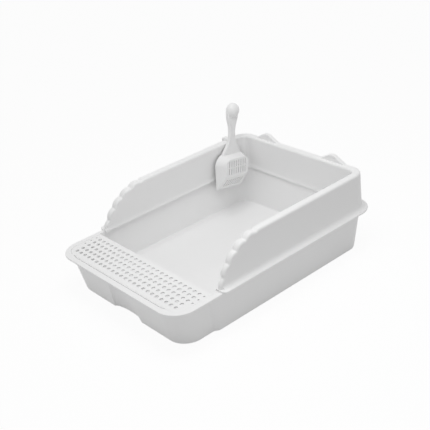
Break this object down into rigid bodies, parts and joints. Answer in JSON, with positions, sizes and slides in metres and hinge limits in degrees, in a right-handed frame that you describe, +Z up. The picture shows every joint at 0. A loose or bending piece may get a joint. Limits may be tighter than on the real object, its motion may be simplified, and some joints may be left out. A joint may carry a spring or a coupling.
{
  "type": "litter box",
  "caption": "Open litter box with a deep pan, a perforated step, a lift-off surround with scalloped front ends and ears on its rear rim, and a slotted scoop hooked over the rim.",
  "frame": {"origin": "middle of the footprint, on the floor under the pan", "axes": "+X to the right seen from the step, +Y from the step to the rear wall, +Z up"},
  "size_m": [0.359, 0.4984, 0.2353],
  "materials": {
    "pan_plastic": "satin moulded white",
    "surround_plastic": "satin moulded white",
    "step_plastic": "satin moulded white",
    "scoop_plastic": "glossy moulded white"
  },
  "bodies": {
    "pan": {"base_pan": "pan_plastic"},
    "step": {"step_plate": "step_plastic"},
    "fence": {"surround": "surround_plastic"},
    "scoop": {"scoop": "scoop_plastic"}
  },
  "joints": [
    {"name": "surround_lift", "type": "slide", "parent": "pan", "child": "fence", "axis": [0, 0, 1], "range_m": [0, 0.12]},
    {"name": "step_lift", "type": "slide", "parent": "pan", "child": "step", "axis": [0, 0, 1], "range_m": [0, 0.06]},
    {"name": "scoop_lift", "type": "slide", "parent": "fence", "child": "scoop", "axis": [0, 0, 1], "range_m": [0, 0.13]}
  ]
}
